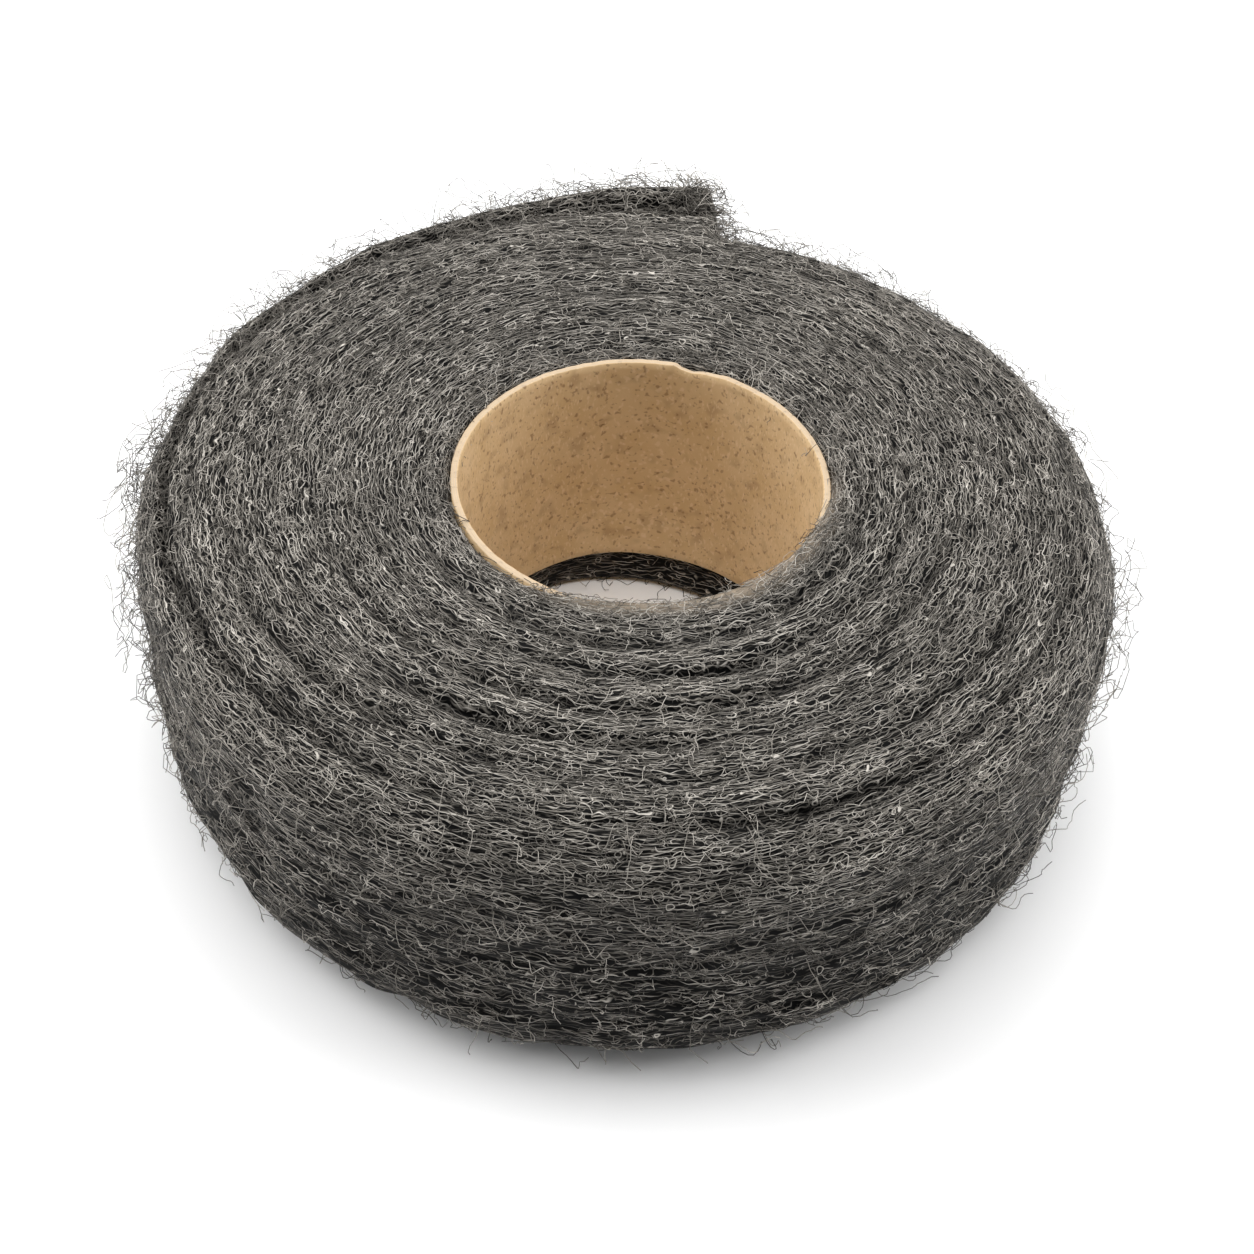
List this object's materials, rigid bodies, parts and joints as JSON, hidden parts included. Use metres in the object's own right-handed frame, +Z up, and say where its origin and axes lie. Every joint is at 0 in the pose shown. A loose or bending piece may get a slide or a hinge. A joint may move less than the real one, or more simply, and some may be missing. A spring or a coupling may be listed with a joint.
{
  "type": "steel wool roll",
  "caption": "Felted band of fine steel wool wound round a shorter cardboard core, lying on one flat face with its outer end loose.",
  "frame": {"origin": "centre of the roll's outline, in the plane of the flat face it lies on", "axes": "+Z up along the core's axis, which stands 2.3 mm towards +X and 2.9 mm towards -Y of the origin; the wool's outer end is at the +Y side"},
  "size_m": [0.2036, 0.2094, 0.0711],
  "materials": {
    "steel_wool": "dull grey felted steel fibres",
    "cardboard": "bare tan recycled chipboard, speckled"
  },
  "bodies": {
    "root": {"steel_wool": "steel_wool", "cardboard_core": "cardboard"}
  },
  "joints": []
}
